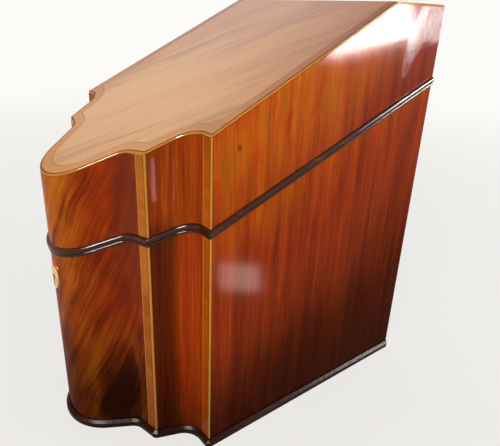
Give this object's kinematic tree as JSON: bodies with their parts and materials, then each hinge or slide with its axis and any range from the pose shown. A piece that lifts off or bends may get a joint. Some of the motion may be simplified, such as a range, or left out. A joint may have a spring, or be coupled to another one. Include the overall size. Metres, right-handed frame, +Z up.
{
  "type": "antique knife box",
  "caption": "Antique mahogany knife box with a serpentine front, a sloping hinged lid, boxwood stringing, a lock and a slope pierced for cutlery.",
  "frame": {"origin": "middle of the flat underside, halfway between the front corners and the back", "axes": "+X to the box's own right seen from the front, -Y out of the serpentine front, +Z up"},
  "size_m": [0.2208, 0.3419, 0.368],
  "materials": {
    "mahogany_side": "gloss",
    "mahogany_back": "satin",
    "bow_veneer": "gloss",
    "cove_veneer": "gloss",
    "top_veneer": "gloss",
    "crossbanding": "gloss",
    "boxwood": "gloss",
    "moulding": "gloss",
    "pine": "matt",
    "slope_mahogany": "satin",
    "brass": "polished",
    "steel": "satin",
    "baize": "matt"
  },
  "bodies": {
    "case": {"back_board": "mahogany_back", "back_cleat": "pine", "base_moulding_front": "moulding", "base_moulding_left": "moulding", "base_moulding_right": "moulding", "bottom_board": "pine", "bow_veneer": "bow_veneer", "cove_veneers": "cove_veneer", "escutcheon": "brass", "escutcheon_pins": "brass", "floor_baize": "baize", "front_cleat": "pine", "front_core": "pine", "front_crossbanding": "crossbanding", "front_lines": "boxwood", "hinge_body_screws": "steel", "hinge_pins": "steel", "inner_stringing": "boxwood", "key_post": "brass", "left_hinge_body_leaf": "brass", "left_side": "mahogany_side", "lock_case": "brass", "lock_cover": "brass", "lock_screws": "steel", "lock_spring": "steel", "outer_stringing": "boxwood", "right_hinge_body_leaf": "brass", "right_side": "mahogany_side", "rim_bead": "moulding", "side_cleats": "pine", "slope_board_1": "slope_mahogany", "slope_board_2": "slope_mahogany", "slope_board_3": "slope_mahogany", "slope_board_4": "slope_mahogany", "slope_board_5": "slope_mahogany"},
    "lid": {"hinge_lid_screws": "steel", "left_hinge_lid_leaf": "brass", "lid_back_board": "mahogany_back", "lid_bead": "moulding", "lid_bow_veneer": "bow_veneer", "lid_cove_veneers": "cove_veneer", "lid_front_core": "pine", "lid_front_crossbanding": "crossbanding", "lid_front_lines": "boxwood", "lid_inner_stringing": "boxwood", "lid_left_side": "mahogany_side", "lid_outer_stringing": "boxwood", "lid_rear_board": "pine", "lid_rear_veneer": "top_veneer", "lid_right_side": "mahogany_side", "lid_top_board": "pine", "lid_top_crossbanding": "crossbanding", "lid_top_line": "boxwood", "lid_top_string": "boxwood", "lid_top_veneer": "top_veneer", "link_plate": "brass", "link_screws": "steel", "right_hinge_lid_leaf": "brass"},
    "bolt": {"lock_bolt": "steel"}
  },
  "joints": [
    {"name": "lid_hinge", "type": "hinge", "parent": "case", "child": "lid", "pos_m": [0, 0.12864, 0.30258], "axis": [-1, 0, 0], "range_deg": [0, 100]},
    {"name": "bolt_slide", "type": "slide", "parent": "case", "child": "bolt", "axis": [1, 0, 0], "range_m": [0, 0.0045]}
  ]
}
